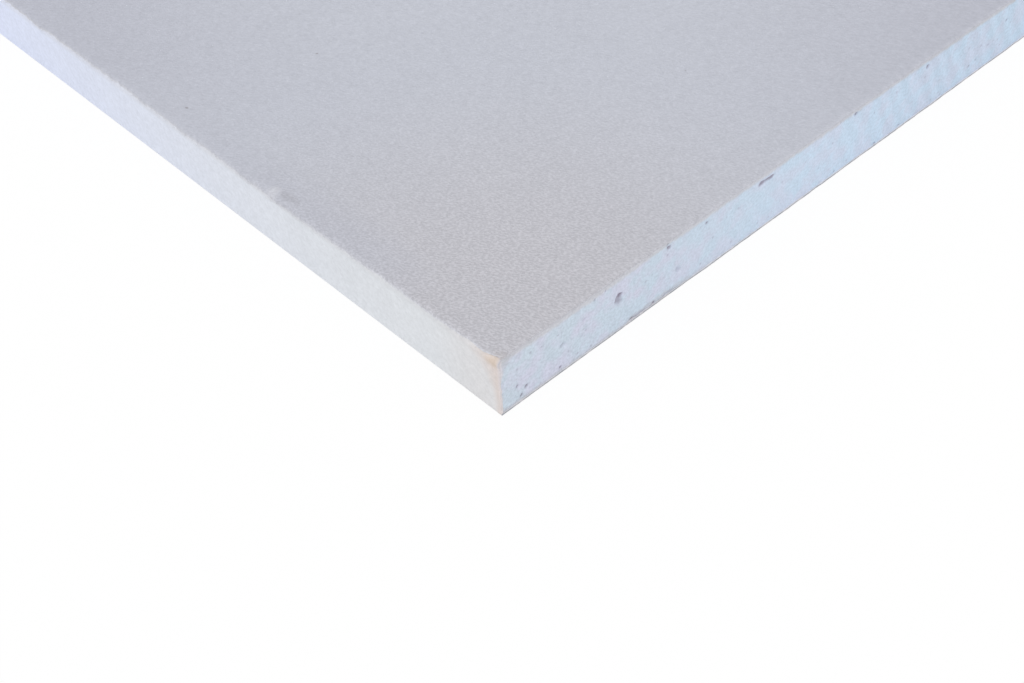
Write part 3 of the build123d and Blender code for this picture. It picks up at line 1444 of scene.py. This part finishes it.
@dataclass
class GypsumCore:
    """The cast gypsum core: hidden by the papers but for its two cut ends.

    Attributes:
        board: the board's sizes.
        seen: how far from the bruised corner the close mesh goes.
        pits: the single holes in the near end.
        specks: the least of its holes: how far each is from the bruised corner, and its height.
        pores: how many small pores each square centimetre of the close mesh has.
        pit_depth: how deep the pits are beside the depths given in their list.
        saw_pitch: distance between saw marks.
        saw_lean: how far they lean from upright, in degrees.
        saw_depth: how deep they are.
        swell: the mean depth of the cut face's wide hollows, which go down to twice that.
        grit: the same for its finest ones.
        crumble: the same for those where it has crumbled at the bruised corner.
        crumble_reach: how far from the corner it has crumbled.
        foot_noise: how unevenly the foot has broken off.
        foot_depth: how deep the broken foot lies.
        foot_stretch: where more of it has broken off, from the corner.
        speck: a speck's width, height, depth, lean and darkness, as a pit's.
    """

    board: Board
    seen: float = 198.0
    pores: float = 0.9
    pit_depth: float = 0.4
    saw_pitch: float = 3.85
    saw_lean: float = 27.0
    saw_depth: float = 0.05
    swell: float = 0.05
    grit: float = 0.02
    crumble: float = 0.06
    crumble_reach: float = 24.0
    foot_noise: Layers = ((0.12, 2.3, 84), (0.1, 0.7, 85))
    foot_depth: float = 0.12
    foot_stretch: tuple[float, float] = (28.3, 43.5)
    speck: tuple[float, ...] = (0.6, 0.6, 0.25, 0, 0.42)
    pits: tuple[Pit, ...] = (
        Pit(26.8, 7.0, 1.8, 2.6, 0.9, 2, 0.6), Pit(27.1, 7.8, 1.1, 1.1, 0.4, 14, 0.95),
        Pit(26.2, 7.0, 0.5, 1.3, 0.2, 8, 0.85), Pit(3.7, 3.93, 0.6, 0.8), Pit(5.7, 2.55, 0.8, 0.9),
        Pit(4.6, 1.2, 0.6, 0.7), Pit(13.9, 5.64, 1.2, 1.0, 0.6, 0, 0.35), Pit(38.8, 10.75, 1.2, 1.0),
        Pit(38.4, 11.6, 0.5, 0.4), Pit(41.2, 4.2, 1.0, 1.7, 0.7, -35, 0.3), Pit(48.1, 10.3, 0.7, 0.5),
        Pit(30.0, 0.45, 0.8, 0.6, 0.7, 0, 1.0), Pit(35.1, 0.5, 0.8, 0.8, 0.7, 0, 1.0),
        Pit(62.4, 10.4, 1.9, 1.1, 0.8), Pit(64.5, 10.4, 2.2, 0.8, 0.7),
        Pit(88.4, 11.1, 0.6, 1.0, 0.9, -60, 0.95), Pit(110.2, 10.2, 1.0, 1.0, 0.9, 0, 0.75),
        Pit(136.7, 7.9, 0.6, 0.8, 0.7, -50), Pit(103.2, 0.6, 1.0, 0.5), Pit(95.7, 0.5, 0.6, 0.5),
        Pit(83.8, 0.7, 0.6, 0.5), Pit(13.2, 1.2, 0.5, 0.5), Pit(21.3, 10.75, 0.5, 0.4),
        Pit(23.8, 10.85, 0.5, 0.5), Pit(18.8, 8.05, 1.0, 0.6, 0.4, 0, 0.4),
        Pit(94.4, 8.18, 0.6, 0.5, 0.3, 0, 0.4), Pit(125.3, 2.8, 0.8, 0.6, 0.4, 0, 0.5),
        Pit(131.2, 4.9, 1.0, 0.6, 0.3, 0, 0.4),
    )
    specks: tuple[tuple[float, float], ...] = (
        (17.1, 1.6), (87.3, 1.2), (113.2, 1.2), (20.3, 1.1), (38.4, 9.2), (19.2, 5.5), (7.1, 9.0),
        (65.0, 1.3), (62.0, 1.8), (135.9, 2.6), (47.0, 1.8), (124.3, 7.3), (128.7, 5.9), (115.7, 1.5),
        (55.0, 1.7), (13.0, 8.6), (82.1, 8.0), (134.6, 4.4), (109.9, 8.2), (127.5, 3.2), (18.1, 4.8),
        (138.4, 6.5), (78.6, 4.3), (15.1, 3.5), (56.3, 8.4), (4.0, 7.4), (9.4, 8.6), (33.3, 6.7),
        (49.9, 5.9), (68.2, 7.3), (132.8, 5.0), (101.0, 9.2),
    )

    def heights(self, x: np.ndarray) -> tuple[np.ndarray, np.ndarray]:
        """The core's foot and top at places across the board.

        Args:
            x: places across the board.

        Returns:
            The heights of its foot and of its top.
        """
        board = self.board
        radius = board.arris_radius - board.face_paper
        over = np.clip(np.abs(x) - board.arris_middle, 0, radius)
        drop = radius - np.sqrt(np.maximum(radius**2 - over**2, 0))
        flap_sole = board.wrap_height - board.face_paper
        top = np.where(np.abs(x) < board.flap_end, board.wrap_height, flap_sole)
        return np.full_like(x, board.face_paper), top - drop

    def relief(self, x: np.ndarray, z: np.ndarray, foot: np.ndarray) -> tuple[np.ndarray, ...]:
        """How the near cut face departs from flat.

        Args:
            x: places across the board.
            z: their heights.
            foot: the core's foot at each.

        Returns:
            How far in each place lies, how much painted shade with some dust darkens it, and how strongly saw
            marks show there.
        """
        across = x + self.board.half_width
        crumbled = self.crumble * smooth(1 - across / self.crumble_reach)
        uneven = ((self.swell, 7.5, 81), (self.grit, 0.8, 82), (crumbled, 1.3, 83))
        depth = sum(deep * (1 + Wander(pitch, seed)(across, z)) for deep, pitch, seed in uneven)
        # Just under the liner the edge is held, and nearly flat.
        depth = 0.015 + depth * smooth((self.board.wrap_height - z) / 0.9)
        hole_shade_and_dust = np.zeros_like(depth)
        # Each pit is darkened inside with painted shade and some grey dust.
        for pit in [*self.pits, *(Pit(*place, *self.speck) for place in self.specks)]:
            inside = pit.share_at(across, z)
            depth = depth + self.pit_depth * pit.depth * inside
            hole_shade_and_dust = np.maximum(hole_shade_and_dust, pit.dark * inside)
        # The foot has broken off in crumbs, and higher up along one stretch.
        first, last = self.foot_stretch
        stretch = smooth((across - first) / 1.2) * smooth((last - across) / 5)
        broken = -0.05 + layered(self.foot_noise, across) + stretch * (0.5 + 0.3 * Wander(1.9, 86)(across))
        edge = smooth((broken - (z - foot)) / 0.25)
        depth = depth + self.foot_depth * edge
        # Painted shade darkens the broken foot, where the paper's inner face also shows.
        hole_shade_and_dust = np.maximum(hole_shade_and_dust, (0.26 + 0.3 * stretch) * edge * (0.7 + 0.3 * Wander(0.5, 87)(across, z)))
        # The saw marks are faint for 60 mm and reach their full strength at 120 mm.
        sawn = 0.3 + 0.7 * smooth((across - 60) / 60)
        return depth, hole_shade_and_dust, sawn * np.ones_like(depth)

    def cut_face(self, shell: Shell, zones: list[tuple[np.ndarray, int, bool]], end: int) -> list[Run]:
        """Lays the mesh of one cut face, column by column.

        Args:
            shell: the shell it belongs to.
            zones: for each stretch across the board its places, how many steps high it is, and whether
                it is close enough for pores.
            end: -1 for the near end, 1 for the far one.

        Returns:
            The face's foot, right side, top and left side.
        """
        columns = []
        for places, steps, close in zones:
            foot, top = self.heights(places)
            share = np.linspace(0, 1, steps + 1)
            z = foot[:, None] + (top - foot)[:, None] * share
            x = np.broadcast_to(places[:, None], z.shape)
            depth, hole_shade_and_dust, sawn = self.relief(x, z, np.broadcast_to(foot[:, None], z.shape))
            if end > 0:
                # The far end is cut cleaner, and the shade of its holes is painted by its material alone.
                depth, hole_shade_and_dust = 0.3 * depth, 0.0 * hole_shade_and_dust
            y = end * (self.board.half_length - depth)
            points = np.stack([x, y, z], 2).reshape(-1, 3)
            marks = {Mark.HOLE_SHADE_AND_DUST: hole_shade_and_dust.ravel(), Mark.SAWN: sawn.ravel(), Mark.CAP: -end, Mark.FINE: close}
            numbers = shell.add(points, marks).reshape(z.shape)
            columns.extend(Run(own, share) for own in numbers)
        for one, other in zip(columns, columns[1:]):
            shell.zip(one, other)
        places = np.concatenate([zone[0] for zone in zones])
        foot = Run(np.array([column.numbers[0] for column in columns]), places)
        top = Run(np.array([column.numbers[-1] for column in columns]), places)
        return [foot, columns[-1], top.reversed(), columns[0].reversed()]

    def copied(self, shell: Shell, ring: list[Run], y: float) -> list[Run]:
        """Adds the same round again at another place along the board.

        Args:
            shell: the shell it belongs to.
            ring: the round to copy.
            y: where the copy lies.

        Returns:
            The copy's runs.
        """
        points = np.concatenate(shell.points)
        rows = []
        for run in ring:
            row = points[run.numbers].copy()
            row[:, 1] = y
            rows.append(row)
        return shell.ring(rows, [run.along for run in ring])

    def build(self) -> bpy.types.Object:
        """Makes the core's mesh.

        Returns:
            The piece.
        """
        board = self.board
        edge, middle = board.half_width - board.face_paper, board.arris_middle
        rounding = np.array([0.0, 0.02, 0.08, 0.2, 0.4, 0.6]) * (board.arris_radius - board.face_paper) / 0.85
        step_at = board.flap_end
        close_to = self.seen - board.half_width
        left = spaced(-middle, (-step_at, 0.25), (-step_at + 0.05, 0.05), (close_to, 0.25))
        left = np.concatenate([-edge + rounding, left])
        right = spaced(close_to + 0.7, (step_at - 0.05, 0.9), (step_at, 0.05), (middle, 0.9))
        right = np.concatenate([right, edge - rounding[::-1]])
        far_places = spaced(-middle, (middle, 1.2))
        far_places = np.concatenate([-edge + rounding, far_places, edge - rounding[::-1]])
        shell = Shell()
        near = self.cut_face(shell, [(left, 46, True), (right, 13, False)], -1)
        far = self.cut_face(shell, [(far_places, 11, False)], 1)
        collar_at = board.half_length - 1.2
        rounds = [near, self.copied(shell, near, -collar_at), self.copied(shell, far, collar_at), far]
        shell.tube(rounds)
        return shell.object("gypsum_core_cast")


class Growth:
    """A geometry tree with named inputs, which grows detail on an object and leaves it a plain mesh.

    Attributes:
        tree: the tree.
        values: each input's value, by its identifier.
        source: the node that gives the inputs out.
        KINDS: the type of socket for each type of value.
    """

    KINDS: ClassVar[dict[type, str]] = {
        float: "NodeSocketFloat", int: "NodeSocketInt", bpy.types.Material: "NodeSocketMaterial",
    }

    def __init__(self, name: str, finish: bpy.types.Material, inputs: dict[str, float | int]) -> None:
        """Makes the tree's inputs and its one output.

        Args:
            name: the tree's name.
            finish: the material of what it makes.
            inputs: each input's name and value.
        """
        self.tree = bpy.data.node_groups.new(name, "GeometryNodeTree")
        self.values: dict[str, object] = {}
        for way in ("OUTPUT", "INPUT"):
            self.tree.interface.new_socket("Geometry", in_out=way, socket_type="NodeSocketGeometry")
        for label, value in {**inputs, "Finish": finish}.items():
            made = self.tree.interface.new_socket(label, in_out="INPUT", socket_type=self.KINDS[type(value)])
            self.values[made.identifier] = value
        self.source = add(self.tree, "NodeGroupInput")

    def given(self, name: str) -> Value:
        """One of the inputs."""
        return Value(self.source, name)

    def made(self, kind: str, links: dict | None = None, output: int | str = 0, **settings: object) -> Value:
        """Adds a node to the tree and takes one of its outputs.

        Args:
            kind: the node's Blender type.
            links: what feeds its inputs.
            output: the output to take.
            **settings: the node's own properties.

        Returns:
            The output.
        """
        return Value(add(self.tree, kind, links, **settings), output)

    def grow(self, piece: bpy.types.Object, geometry: Value) -> bpy.types.Object:
        """Ends the tree, runs it on an object and keeps its result.

        Args:
            piece: the object.
            geometry: what the tree has made.

        Returns:
            The same object with its new mesh.
        """
        real = self.made("GeometryNodeRealizeInstances", {"Geometry": geometry})
        done = self.made("GeometryNodeSetMaterial", {"Geometry": real, "Material": self.given("Finish")})
        add(self.tree, "NodeGroupOutput", {"Geometry": done})
        modifier = piece.modifiers.new(self.tree.name, "NODES")
        modifier.node_group = self.tree
        for identifier, value in self.values.items():
            modifier[identifier] = value
        ready = piece.evaluated_get(bpy.context.evaluated_depsgraph_get())
        mesh = bpy.data.meshes.new_from_object(ready)
        piece.modifiers.remove(modifier)
        piece.data = mesh
        return piece


@dataclass
class CutFaceRelief:
    """Geometry nodes that press small air pores and slanting saw marks into the core's cut faces.

    Attributes:
        core: the core whose pores and saw marks they are.
        smallest: radius of the smallest pore.
        largest: radius of the largest pore.
        lip: shares of a pore's radius between which its wall goes down.
        pore_depth: how deep a pore is beside its radius.
        pore_dark: how dark it is painted inside, 0 to 1, as painted shade.
        saw_shake: distance between the places where the saw marks bend.
        saw_bend: how far they bend there, in pitches.
        seed: picks the pores' places.
    """

    core: GypsumCore
    smallest: float = 0.14
    largest: float = 0.32
    lip: tuple[float, float] = (1.15, 0.35)
    pore_depth: float = 0.4
    pore_dark: float = 0.45
    saw_shake: float = 9.0
    saw_bend: float = 0.9
    seed: int = 7

    def pores(self, growth: Growth, where: Value, close: Value) -> tuple[Value, Value]:
        """Strews the pores over the close part of the mesh.

        Args:
            growth: the tree.
            where: each point's place.
            close: 1 where the mesh is close enough for pores.

        Returns:
            How far down a pore each point lies, 0 to 1, and that pore's radius.
        """
        strewn = growth.made("GeometryNodeDistributePointsOnFaces", {
            "Mesh": growth.given("Geometry"), "Selection": close.join("GREATER_THAN", 0.5),
            "Density": growth.given("Pores per square metre"), "Seed": growth.given("Seed"),
        }, "Points")
        nearest = growth.made("GeometryNodeSampleNearest", {"Geometry": strewn, "Sample Position": where})
        least, most, seed = (growth.given(name) for name in ("Smallest pore", "Largest pore", "Seed"))
        sizes = {2: least, 3: most, "Seed": seed}
        size = growth.made("FunctionNodeRandomValue", sizes, 1, data_type="FLOAT")
        radius, middle = (growth.made("GeometryNodeSampleIndex", {
            "Geometry": strewn, "Value": source, "Index": nearest,
        }, data_type=kind) for source, kind in ((size, "FLOAT"), (where, "FLOAT_VECTOR")))
        away = where.join("DISTANCE", middle, kind=PLACES, output="Value")
        return Step(*self.lip)(away / radius) * close, radius

    def saw_wave(self, growth: Growth, where: Value) -> Value:
        """Lays out the saw marks.

        Args:
            growth: the tree.
            where: each point's place.

        Returns:
            A wave that is 1 on the ridges between marks and -1 down in them.
        """
        lean = growth.given("Saw lean")
        x, _, z = where.parts()
        run = x * lean.join("COSINE") + z * lean.join("SINE")
        turns = run / growth.given("Saw pitch") + Grain(self.saw_shake)(where) * self.saw_bend
        return (turns * math.tau).join("SINE")

    def press(self, piece: bpy.types.Object, finish: bpy.types.Material) -> bpy.types.Object:
        """Presses the relief into the core's mesh.

        Args:
            piece: the core.
            finish: its material.

        Returns:
            The same object with its new mesh.
        """
        core = self.core
        growth = Growth("cut_face_relief", finish, {
            "Pores per square metre": core.pores * CM_PER_METRE**2, "Smallest pore": self.smallest * MM,
            "Largest pore": self.largest * MM, "Seed": self.seed, "Saw pitch": core.saw_pitch * MM,
            "Saw lean": math.radians(core.saw_lean), "Saw depth": core.saw_depth * MM,
        })
        where = growth.made("GeometryNodeInputPosition")
        cap, close, hole_shade_and_dust, sawn = (growth.made("GeometryNodeInputNamedAttribute", {
            "Name": mark.value,
        }, data_type="FLOAT") for mark in (Mark.CAP, Mark.FINE, Mark.HOLE_SHADE_AND_DUST, Mark.SAWN))
        sunk, radius = self.pores(growth, where, close)
        ridge = self.saw_wave(growth, where) * sawn
        depth = sunk * (radius * self.pore_depth) + (sawn - ridge) * (growth.given("Saw depth") * 0.5)
        kept = growth.given("Geometry")
        # The pores add painted shade to what darkens the holes.
        for mark, value in ((Mark.HOLE_SHADE_AND_DUST, hole_shade_and_dust.join("MAXIMUM", sunk * self.pore_dark)), (Mark.SAWN, ridge)):
            links = {"Geometry": kept, "Name": mark.value, "Value": value}
            kept = growth.made("GeometryNodeStoreNamedAttribute", links, data_type="FLOAT")
        inwards = growth.made("ShaderNodeCombineXYZ", {1: depth * cap})
        pressed = growth.made("GeometryNodeSetPosition", {"Geometry": kept, "Offset": inwards})
        return growth.grow(piece, pressed)


@dataclass
class EdgeFuzz:
    """Torn fibres along the liner's cut end and lap edge and along the wrap's cut corner.

    Attributes:
        board: the board's sizes.
        liner: the liner whose edges they stand on.
        spacing: the mean distance between fibres.
        longest: the longest fibre.
        shortest: the shortest one beside it.
        bend: where a fibre of length 1 starts, what it bends towards and where it ends.
        girth: a fibre's radius beside its length.
        spread: how far fibres stray from straight out, beside their own direction.
        step: the distance between the points that the lines follow.
        below_top: how far under the liner's top those on its cut end stand.
        inset: how far in from the long edge those on the wrap's cut corner stand.
        seed: picks the fibres' directions.
        size_seed: picks their lengths.
        OUTWARDS: what the lines' own directions are stored as.
    """

    board: Board
    liner: BackLiner
    spacing: float = 0.22
    longest: float = 0.42
    shortest: float = 0.25
    bend: tuple[tuple[float, float, float], ...] = ((0, 0, 0), (0.5, 0.05, 0.3), (0.95, 0.15, 0.1))
    girth: float = 0.035
    spread: float = 0.8
    step: float = 0.5
    below_top: float = 0.12
    inset: float = 0.15
    seed: int = 3
    size_seed: int = 17
    OUTWARDS: ClassVar[str] = "outwards"

    def paths(self) -> bpy.types.Object:
        """The lines that the fibres stand on, with the direction out of the paper at each point.

        Returns:
            An object that holds the lines as edges.
        """
        board, liner = self.board, self.liner
        end, edge = -board.half_length, self.inset - board.half_width
        x = spaced(-board.arris_middle, (liner.seen - board.half_width, self.step))
        cut = np.stack([x, np.full_like(x, end), np.full_like(x, board.thickness - self.below_top)], 1)
        y = spaced(end, (liner.seen + end, self.step))
        lap = np.array([liner.arc(place, -1, False)[0] for place in y])
        z = spaced(board.arris_radius, (board.wrap_height - board.arris_radius, self.step))
        upright = np.stack([np.full_like(z, edge), np.full_like(z, end), z], 1)
        lines = (
            (liner.settle(cut), (0, -1, 0.1)),
            (liner.settle(lap), (-0.6, 0, -0.7)),
            (upright, (-0.3, -1, 0)),
        )
        points = np.concatenate([line for line, _ in lines]) * MM
        outwards = np.concatenate([np.tile(out, (len(line), 1)) for line, out in lines])
        starts = np.cumsum([0] + [len(line) for line, _ in lines])
        edges = [(i, i + 1) for first, last in zip(starts, starts[1:]) for i in range(first, last - 1)]
        mesh = bpy.data.meshes.new("paper_edge_fuzz")
        mesh.from_pydata(points.tolist(), edges, [])
        stored = mesh.attributes.new(self.OUTWARDS, "FLOAT_VECTOR", "POINT")
        stored.data.foreach_set("vector", outwards.astype(np.float32).ravel())
        made = bpy.data.objects.new("paper_edge_fuzz", mesh)
        bpy.context.collection.objects.link(made)
        return made

    def strand(self, growth: Growth) -> Value:
        """Makes one bent fibre of length 1 that sets out along +X.

        Args:
            growth: the tree.

        Returns:
            The fibre.
        """
        start, middle, end = self.bend
        links = {"Resolution": 4, "Start": start, "Middle": middle, "End": end}
        curve = growth.made("GeometryNodeCurveQuadraticBezier", links)
        three_sided = {"Resolution": 3, "Radius": growth.given("Girth")}
        rim = growth.made("GeometryNodeCurvePrimitiveCircle", three_sided)
        links = {"Curve": curve, "Profile Curve": rim, "Fill Caps": True}
        return growth.made("GeometryNodeCurveToMesh", links)

    def build(self, finish: bpy.types.Material) -> bpy.types.Object:
        """Sets fibres along the lines, each turned and sized at random.

        Args:
            finish: their material.

        Returns:
            The piece.
        """
        growth = Growth("edge_fuzz", finish, {
            "Spacing": self.spacing * MM, "Longest": self.longest * MM, "Girth": self.girth,
            "Spread": self.spread, "Seed": self.seed,
        })
        line = growth.made("GeometryNodeMeshToCurve", {"Mesh": growth.given("Geometry")})
        spots = {"Curve": line, "Length": growth.given("Spacing")}
        spots = growth.made("GeometryNodeCurveToPoints", spots, "Points", mode="LENGTH")
        vector = {"data_type": "FLOAT_VECTOR"}
        out = growth.made("GeometryNodeInputNamedAttribute", {"Name": self.OUTWARDS}, **vector)
        cube = {0: (-1, -1, -1), 1: (1, 1, 1), "Seed": growth.given("Seed")}
        stray = growth.made("FunctionNodeRandomValue", cube, **vector)
        stray = growth.made(PLACES, {0: stray, "Scale": growth.given("Spread")}, operation="SCALE")
        aim = stray.join("ADD", out, kind=PLACES)
        turn = growth.made("FunctionNodeAlignRotationToVector", {"Vector": aim}, axis="X")
        sizes = {2: self.shortest, 3: 1.0, "Seed": self.size_seed}
        size = growth.made("FunctionNodeRandomValue", sizes, 1, data_type="FLOAT") * growth.given("Longest")
        return growth.grow(self.paths(), growth.made("GeometryNodeInstanceOnPoints", {
            "Points": spots, "Instance": self.strand(growth), "Rotation": turn, "Scale": size,
        }))


@dataclass
class Studio:
    """The camera at the photograph's angle, the white floor and the soft light.

    Attributes:
        board: the board's sizes.
        lens: the camera's focal length on a sensor 36 mm wide.
        from_corner: the camera's place from the bruised corner's foot, in millimetres.
        heading: the direction it looks in, in degrees from +Y towards +X.
        tilt: how far down it looks, in degrees.
        roll: how far it leans, in degrees.
        sky: the plain level of light from all round.
        sun: the strength of the wide soft lamp.
        sun_size: how wide that lamp is, in degrees.
        sun_from: the direction that it stands in.
        shadow: how much of the floor's look is its own shaded surface.
        floor_reach: how far the floor goes from the middle, in metres.
        floor_gap: how far under the board it lies.
        floor_tone: the floor's colour in the light that it throws back, a light grey paint.
        white: the colour that the floor and the room show.
    """

    board: Board
    lens: float = 51.8
    from_corner: tuple[float, float, float] = (-99.70, -121.92, 172.69)
    heading: float = 40.179
    tilt: float = 44.777
    roll: float = 4.170
    sky: float = 0.80
    sun: float = 0.75
    sun_size: float = 28.0
    sun_from: tuple[float, float, float] = (-0.52, -0.34, 0.78)
    shadow: float = 0.08
    floor_reach: float = 15.0
    floor_gap: float = 0.05
    floor_tone: str = "#E8E8E8"
    white: str = "#FFFFFF"

    def camera(self) -> None:
        """Sets the camera."""
        data = bpy.data.cameras.new("camera")
        data.lens, data.sensor_width = self.lens, 36.0
        data.clip_start, data.clip_end = 0.005, 60.0
        made = bpy.data.objects.new("camera", data)
        turns = (Matrix.Rotation(math.radians(-self.heading), 4, "Z")
                 @ Matrix.Rotation(math.radians(90 - self.tilt), 4, "X")
                 @ Matrix.Rotation(math.radians(-self.roll), 4, "Z"))
        corner = Vector((-self.board.half_width, -self.board.half_length, 0))
        made.matrix_world = Matrix.Translation((corner + Vector(self.from_corner)) * MM) @ turns
        bpy.context.collection.objects.link(made)
        bpy.context.scene.camera = made

    def lamp(self) -> None:
        """Sets the wide soft lamp."""
        data = bpy.data.lights.new("soft_lamp", "SUN")
        data.energy, data.angle = self.sun, math.radians(self.sun_size)
        made = bpy.data.objects.new("soft_lamp", data)
        made.rotation_mode = "QUATERNION"
        made.rotation_quaternion = Vector(self.sun_from).to_track_quat("Z", "Y")
        bpy.context.collection.objects.link(made)

    def shown(self, tree: bpy.types.NodeTree, lit: Value, seen: Value) -> Value:
        """Mixes what lights the board with what is seen behind it: straight, mirrored or through glass.

        Args:
            tree: the tree of the world or of the floor's material.
            lit: the shader that the other rays meet.
            seen: the one that these rays show.

        Returns:
            The mixed shader.
        """
        path = add(tree, "ShaderNodeLightPath")
        straight_or_mirrored = Value(path, "Is Camera Ray") + Value(path, "Is Glossy Ray")
        rays = {0: straight_or_mirrored, 1: Value(path, "Is Transmission Ray")}
        share = Value(add(tree, NUMBERS, rays, operation="ADD", use_clamp=True))
        return Value(add(tree, "ShaderNodeMixShader", {0: share, 1: lit, 2: seen}))

    def room(self) -> None:
        """Sets the even light from all round, white where it is seen."""
        world = bpy.data.worlds.new("white_room")
        tree = emptied(world)
        even, white = (Value(add(tree, "ShaderNodeBackground", {
            "Color": linear(self.white), "Strength": strength,
        })) for strength in (self.sky, 1.0))
        add(tree, "ShaderNodeOutputWorld", {"Surface": self.shown(tree, even, white)})
        bpy.context.scene.world = world

    def floor(self) -> None:
        """Lays the white floor just under the board."""
        reach, level = self.floor_reach, -self.floor_gap * MM
        mesh = bpy.data.meshes.new("floor")
        square = ((-reach, -reach), (reach, -reach), (reach, reach), (-reach, reach))
        mesh.from_pydata([(x, y, level) for x, y in square], [], [(0, 1, 2, 3)])
        material = bpy.data.materials.new("white_studio_floor_painted")
        tree = emptied(material)
        paint, bleached = (Value(add(tree, "ShaderNodeBsdfDiffuse", {"Color": linear(tone)}))
                           for tone in (self.floor_tone, self.white))
        glow = Value(add(tree, "ShaderNodeEmission", {"Color": linear(self.white), "Strength": 1.0}))
        white = Value(add(tree, "ShaderNodeMixShader", {0: self.shadow, 1: glow, 2: bleached}))
        add(tree, "ShaderNodeOutputMaterial", {"Surface": self.shown(tree, paint, white)})
        mesh.materials.append(material)
        made = bpy.data.objects.new("floor", mesh)
        bpy.context.collection.objects.link(made)

    def build(self) -> None:
        """Sets everything but the board."""
        bpy.context.scene.view_settings.view_transform = "Standard"
        self.camera()
        self.lamp()
        self.room()
        self.floor()
        log.info("studio: lens %.1f mm, camera %s mm from the corner", self.lens, self.from_corner)


def place(piece: bpy.types.Object, node: Node, finish: bpy.types.Material, stands_for: bool) -> None:
    """Gives a piece its finish and sets it in the frame.

    Args:
        piece: the piece.
        node: the CAD node that it belongs with, which is hidden if it replaces it.
        finish: its material.
        stands_for: True if it replaces that node.
    """
    piece.data.materials.clear()
    piece.data.materials.append(finish)
    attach(piece, "root")
    if stands_for:
        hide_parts(node.value)
    log.info("%s: %d points, %d faces", piece.name, len(piece.data.vertices), len(piece.data.polygons))


def main() -> None:
    """Builds the studio and the board's pieces in order."""
    logging.basicConfig(level=logging.INFO, format="%(message)s")
    board = Board.from_frame()
    Studio(board).build()
    liner, core = BackLiner(board), GypsumCore(board)
    place(liner.build(), Node.LINER, GreyLinerBoard(board).make(), True)
    place(FaceWrap(board).build(), Node.WRAP, IvoryFacePaper(board).make(), True)
    gypsum = CastGypsum(board).make()
    place(CutFaceRelief(core).press(core.build(), gypsum), Node.CORE, gypsum, True)
    fibre = LooseFibre(board).make()
    place(EdgeFuzz(board, liner).build(fibre), Node.LINER, fibre, False)


if __name__ == "__main__":
    main()
